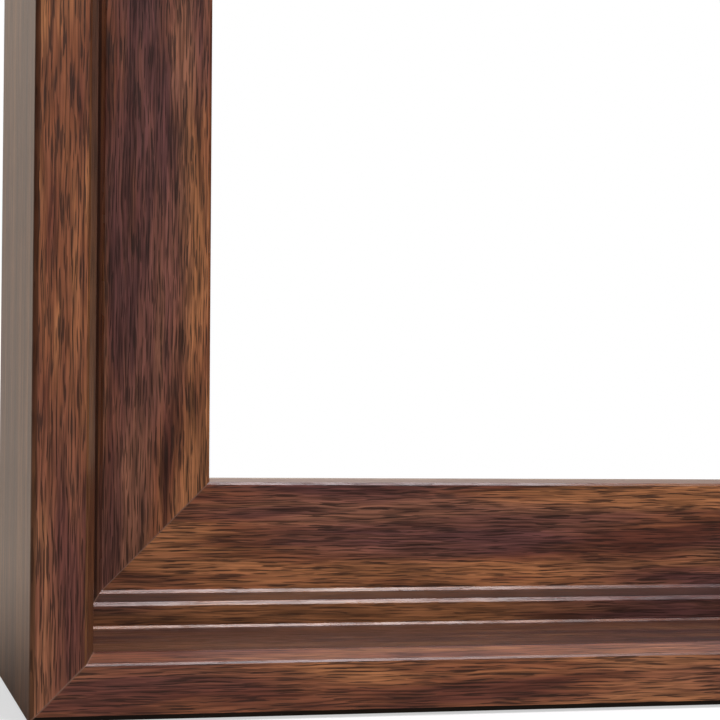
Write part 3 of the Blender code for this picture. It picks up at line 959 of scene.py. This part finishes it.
# %% Mouldings
OUTER_EDGES = (((0.0, 0.0), 0.0006, 6), ((LIP, 0.0), 0.0002, 1), (WALL_TOP, 0.0002, 4),
               ((0.0, DEPTH), 0.0005, 6), ((BACK_WALL, DEPTH), 0.0002, 3))
LINER_EDGES = (((STEP_EDGE, STEP_DEPTH), 0.00036, 1), ((LEDGE_FOOT, LEDGE_DEPTH), 0.0003, 1),
               ((LEDGE_EDGE, LEDGE_DEPTH), 0.0003, 1), ((SIGHT_EDGE, SIGHT_DEPTH), 0.0008, 4),
               ((SIGHT_EDGE, LINER_BACK), 0.0003, 3))
LAYERS = (("outer", OUTER_SECTION, OUTER_EDGES, outer_holes),
          ("liner", LINER_SECTION, LINER_EDGES, liner_holes))


def add_piece(name, mesh, finish, body, node):
    """A finished piece that rides on a body in place of a solid."""
    mesh.materials.append(finish)
    piece = bpy.data.objects.new(name, mesh)
    bpy.context.scene.collection.objects.link(piece)
    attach(piece, body)
    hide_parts(node)
    return piece


def moulding(name, section, edges, holes, length, place):
    """One mitred, bored length of moulding at its place."""
    shape = straight_bar(section, length)
    for corner, width, segments in edges:
        round_edge(shape, corner, width, segments)
    mitre(shape, length)
    return crisp(bored(as_mesh(shape, name, place), holes()))


for number, (name, length, turn, middle) in enumerate(SIDES):
    place = place_of(turn, middle)
    for layer, section, edges, holes in LAYERS:
        mesh = moulding(f"{layer}_{name}", section, edges, holes, length, place)
        wide = float(layer == "liner")
        write_grain(mesh, place, length, BOARDS[layer][number], wide, name.split("_")[1])
        add_piece(f"{layer}_{name}_wood", mesh, wood, "frame", f"{layer}_{name}")
        print(layer, name, len(mesh.polygons), "faces")

# %% [markdown]
# ## Plated and plain steel
#
# Hangers and screws are zinc plated: a bright, slightly cool grey with faint clouds, fine scratches and
# a soft gloss. The V-nails are plain spring steel, darker and rougher. One function makes both, and the
# patterns read Object coordinates, which stay with the piece when it moves. The V-nails show only as
# thin edges in the back, so their solids stay and just get the finish.

# %% Steel finishes
CLOUD_SCALE = (700.0, 700.0, 700.0)
SCRATCH_SCALE = (900.0, 2500.0, 14000.0)
STEEL_NOISE = 0.6
SCRATCH_BUMP = 0.12
SCRATCH_DEPTH = 0.00002
SCRATCH_DULLNESS = 0.16
CLOUD_GLOSS = -0.06


def steel(name, colour, dull, rough):
    """A metal that is clouded and finely scratched."""
    finish, tree, shader = new_finish(name)
    place = add(tree, "TexCoord").outputs["Object"]

    def noise(scale, detail):
        inputs = {"Vector": scaled(tree, place, scale), "Scale": 1.0,
                  "Detail": detail, "Roughness": STEEL_NOISE}
        return add(tree, "TexNoise", inputs).outputs["Fac"]

    clouds = spread(tree, noise(CLOUD_SCALE, 4.0), 0.3, 0.7)
    scratches = noise(SCRATCH_SCALE, 2.0)
    inputs = {"Strength": SCRATCH_BUMP, "Distance": SCRATCH_DEPTH, "Height": scratches}
    base = maths(tree, "MULTIPLY_ADD", clouds, CLOUD_GLOSS, rough)
    shader.inputs["Metallic"].default_value = 1.0
    fill(tree, shader, {"Base Color": mixed(tree, clouds, dull, colour),
                        "Roughness": maths(tree, "MULTIPLY_ADD", scratches, SCRATCH_DULLNESS, base),
                        "Normal": add(tree, "Bump", inputs).outputs["Normal"]})
    return finish


zinc = steel("zinc_plate", (0.62, 0.65, 0.67, 1.0), (0.47, 0.49, 0.51, 1.0), 0.26)
wire_zinc = steel("zinc_wire", (0.65, 0.68, 0.70, 1.0), (0.53, 0.55, 0.57, 1.0), 0.20)
nail_steel = steel("spring_steel", (0.35, 0.35, 0.34, 1.0), (0.21, 0.21, 0.21, 1.0), 0.36)
v_nails = [thing for name, thing in nodes.items() if "_v_nail_" in name]
for nail in v_nails:
    for holder in nail.material_slots:
        holder.material = nail_steel
print("steel on", len(v_nails), "V-nails")

# %% [markdown]
# ## Liner screws
#
# A countersunk screw is a turned shape: its profile is spun about its axis. The cross in its head is
# cut with a small bar whose section is a plus sign and which narrows downwards, as the real recess
# does. A bump texture could draw a cross too, but it would vanish when seen from the side.

# %% Countersunk screws
CROSS_TAPER = 0.45
LINER_CROSS = (0.00105, 0.00021, 0.0007)
HEAD_STEPS = 40
SHARP_ANGLE = math.radians(32)


def cross_recess(reach, half, depth, top):
    """A plus-shaped cutter that narrows as it goes down from the top of a head."""
    corners = ((half, half), (half, reach), (-half, reach), (-half, half),
               (-reach, half), (-reach, -half), (-half, -half), (-half, -reach),
               (half, -reach), (half, -half), (reach, -half), (reach, half))
    shape = straight_bar(corners, 2 * depth)
    foot = [vert for vert in shape.verts if vert.co.z < 0.0]
    bmesh.ops.scale(shape, vec=(CROSS_TAPER, CROSS_TAPER, 1.0), verts=foot)
    bmesh.ops.translate(shape, vec=(0.0, 0.0, top), verts=shape.verts)
    return shape


def driven(profile, recess, name, place):
    """A screw with a cross in its head, at its place."""
    mesh = bored(as_mesh(turned(profile, HEAD_STEPS), name), as_mesh(recess, "recess"))
    mesh.shade_smooth()
    mesh.set_sharp_from_angle(angle=SHARP_ANGLE)
    mesh.transform(place)
    return mesh


for name, place in screw_places():
    screw = driven(screw_profile(0.0, 0.0), cross_recess(*LINER_CROSS, 0.0), name, place)
    add_piece(name + "_steel", screw, zinc, "frame", name)
print("each liner screw has", len(screw.polygons), "faces")

# %% [markdown]
# ## D-ring hangers
#
# The frame hangs by two D-rings. Each hanger is a strip of sheet steel folded round the bar of a
# D-shaped wire ring and held by one pan-head screw. Its sizes are those of the solids, and its place is
# the axis of the ring's joint, which the record gives.

# %% Hanger sizes
STRAP_WIDTH = 0.009
STRAP_LENGTH = 0.0225
STRAP_SHEET = 0.0007
STRAP_END = 0.004
WIRE = 0.0009
EYE_RADIUS = WIRE + SEAT_GAP
LOOP_RADIUS = EYE_RADIUS + STRAP_SHEET
RING_PLAY = 0.0004
RING_HALF = STRAP_WIDTH / 2 + RING_PLAY + WIRE
RING_LEG = 0.004
RING_BEND = 0.0014
RING_LEAN = math.radians(5.24)
hanger_axes = {joint["child"]: Vector(joint["pos_m"]) for joint in frame["record"]["behaviour"]["joints"]}
print("ring axes", dict(zip(hanger_axes, in_mm(hanger_axes.values()))))

# %% [markdown]
# ## Folded strap
#
# A press folds the real strap from a flat strip, and the model follows the fold: one edge is extruded
# up, spun round the bar and extruded down again. The lower corners are rounded with a bevel of their
# vertices. The sheet gets its thickness later, from a modifier, so that both leaves are equally thick.

# %% Folded strap
FOLD_STEPS = 28
END_SEGMENTS = 10


def extruded(shape, edges, move):
    """Extrude edges by a move and give the new edges."""
    grown = bmesh.ops.extrude_edge_only(shape, edges=edges)["geom"]
    bmesh.ops.translate(shape, vec=move, verts=verts_of(grown))
    return [item for item in grown if isinstance(item, bmesh.types.BMEdge)
            and all(vert in grown for vert in item.verts)]


def spun(shape, edges, centre, axis, angle, steps):
    """Spin edges about an axis and give the last ones."""
    verts = list(dict.fromkeys(vert for edge in edges for vert in edge.verts))
    last = bmesh.ops.spin(shape, geom=verts + edges, cent=centre, axis=axis, dvec=(0, 0, 0), angle=angle,
                          steps=steps, use_merge=False, use_duplicate=False)["geom_last"]
    return [item for item in last if isinstance(item, bmesh.types.BMEdge)]


def folded_strap():
    """A strap that hangs from the ring's axis at the origin, its back leaf towards the frame."""
    middle = EYE_RADIUS + STRAP_SHEET / 2
    front = middle - STRAP_SHEET
    shape = bmesh.new()
    ends = [shape.verts.new((side * STRAP_WIDTH / 2, -middle, -STRAP_LENGTH)) for side in (-1, 1)]
    edges = [shape.edges.new(ends)]
    edges = extruded(shape, edges, (0.0, 0.0, STRAP_LENGTH))
    turn = math.pi + math.acos(front / middle)
    edges = spun(shape, edges, (0, 0, 0), (1, 0, 0), -turn, FOLD_STEPS)
    drop = middle * math.sin(math.acos(front / middle))
    extruded(shape, edges, (0.0, 0.0, drop - STRAP_LENGTH))
    tips = [vert for vert in shape.verts if vert.co.z < SAME_PLACE - STRAP_LENGTH]
    bmesh.ops.bevel(shape, geom=tips, offset=STRAP_END, segments=END_SEGMENTS, profile=0.5,
                    affect="VERTICES", material=-1)
    bmesh.ops.recalc_face_normals(shape, faces=shape.faces)
    return shape


trial = folded_strap()
print("strap sheet has", len(trial.faces), "faces before it gets its thickness")
trial.free()

# %% [markdown]
# ## D-ring
#
# The real ring is bent from wire. A curve with a round bevel would be quick, but spinning keeps the
# wire's section exact: a circle of wire is spun round the bow, extruded up a leg, spun round a bend,
# extruded along the bar, and so back to its start, where the two ends are merged.

# %% D-ring
WIRE_SIDES = 20
BOW_STEPS = 40
BEND_STEPS = 10


def d_ring():
    """A wire ring that hangs from its straight bar at the origin."""
    shape = bmesh.new()
    bmesh.ops.create_circle(shape, segments=WIRE_SIDES, radius=WIRE,
                            matrix=Matrix.Translation((RING_HALF, 0.0, -RING_LEG)))
    edges = spun(shape, shape.edges[:], (0.0, 0.0, -RING_LEG), (0, 1, 0), math.pi, BOW_STEPS)
    leg = RING_LEG - RING_BEND
    bar = RING_HALF - RING_BEND
    edges = extruded(shape, edges, (0.0, 0.0, leg))
    edges = spun(shape, edges, (RING_BEND - RING_HALF, 0.0, -RING_BEND), (0, 1, 0), math.pi / 2, BEND_STEPS)
    edges = extruded(shape, edges, (2 * bar, 0.0, 0.0))
    edges = spun(shape, edges, (bar, 0.0, -RING_BEND), (0, 1, 0), math.pi / 2, BEND_STEPS)
    extruded(shape, edges, (0.0, 0.0, -leg))
    bmesh.ops.remove_doubles(shape, verts=shape.verts, dist=SAME_PLACE)
    bmesh.ops.recalc_face_normals(shape, faces=shape.faces)
    return shape


trial = d_ring()
print("ring has", len(trial.faces), "faces")
trial.free()

# %% [markdown]
# ## Pan-head screw
#
# The screw that holds a strap has a low, domed head. A flattened sphere could be the dome, but here the
# whole profile is drawn: a quarter of an ellipse, the straight rim, the flat under the head, the shank and
# the tip. It is spun like the liner screws and gets a larger cross.

# %% Pan-head screw
PAN_HEAD = 0.003
PAN_HEIGHT = 0.002
PAN_SHANK = 0.0014
PAN_LENGTH = 0.008
PAN_DROP = 0.017
PAN_CROSS = (0.0017, 0.00032, 0.0012)
CROWN = PAN_HEIGHT / 2
CROWN_STEPS = 11
CROWN_STEP = 9
PAN_SEAT = 2 * STRAP_SHEET - LOOP_RADIUS + SEAT_GAP

pan_profile = [(PAN_HEAD * math.sin(angle), CROWN + CROWN * math.cos(angle))
               for angle in (math.radians(CROWN_STEP * step) for step in range(CROWN_STEPS))]
pan_profile += [(PAN_HEAD, 0.0), (PAN_SHANK, 0.0), (PAN_SHANK, SCREW_TIP - PAN_LENGTH), (0.0, -PAN_LENGTH)]
print("pan-head profile has", len(pan_profile), "points")

# %% [markdown]
# ## Both hangers
#
# Strap, ring and screw are placed at each joint's axis. The strap and its screw ride on the frame. The
# ring rides on its own body, so that it swings when the joint turns. Solidify gives the strap its
# thickness and a small Bevel takes the sharpness off its cut edges.

# %% Both hangers
STRAP_TRIM = 0.98
SOFT_EDGE = 0.00014
SOFT_SEGMENTS = 2
SOFT_ANGLE = math.radians(40)


def add_strap(side, place):
    """A strap with its thickness and soft edges."""
    strap = add_piece(f"{side}_strap_steel", as_mesh(folded_strap(), f"{side}_strap", place), zinc, "frame",
                      f"{side}_hanger_strap")
    strap.data.shade_smooth()
    thickness = strap.modifiers.new("sheet", "SOLIDIFY")
    thickness.thickness = STRAP_SHEET * STRAP_TRIM
    thickness.offset = 0.0
    soft = strap.modifiers.new("soft_edges", "BEVEL")
    soft.width = SOFT_EDGE
    soft.segments = SOFT_SEGMENTS
    soft.limit_method = "ANGLE"
    soft.angle_limit = SOFT_ANGLE


for body, axis in hanger_axes.items():
    side = body.split("_")[0]
    place = Matrix.Translation(axis)
    add_strap(side, place)

    ring_mesh = as_mesh(d_ring(), f"{side}_ring", place @ Matrix.Rotation(RING_LEAN, 4, "X"))
    ring_mesh.shade_smooth()
    add_piece(f"{side}_ring_wire", ring_mesh, wire_zinc, body, f"{side}_hanger_ring")

    screw_place = place @ Matrix.Translation((0.0, PAN_SEAT, -PAN_DROP)) @ TO_BACK
    screw = driven(pan_profile, cross_recess(*PAN_CROSS, PAN_HEIGHT), f"{side}_pan_screw", screw_place)
    add_piece(f"{side}_pan_screw_steel", screw, zinc, "frame", f"{side}_hanger_screw")
    print(side, "hanger: ring", len(ring_mesh.polygons), "faces, screw", len(screw.polygons), "faces")
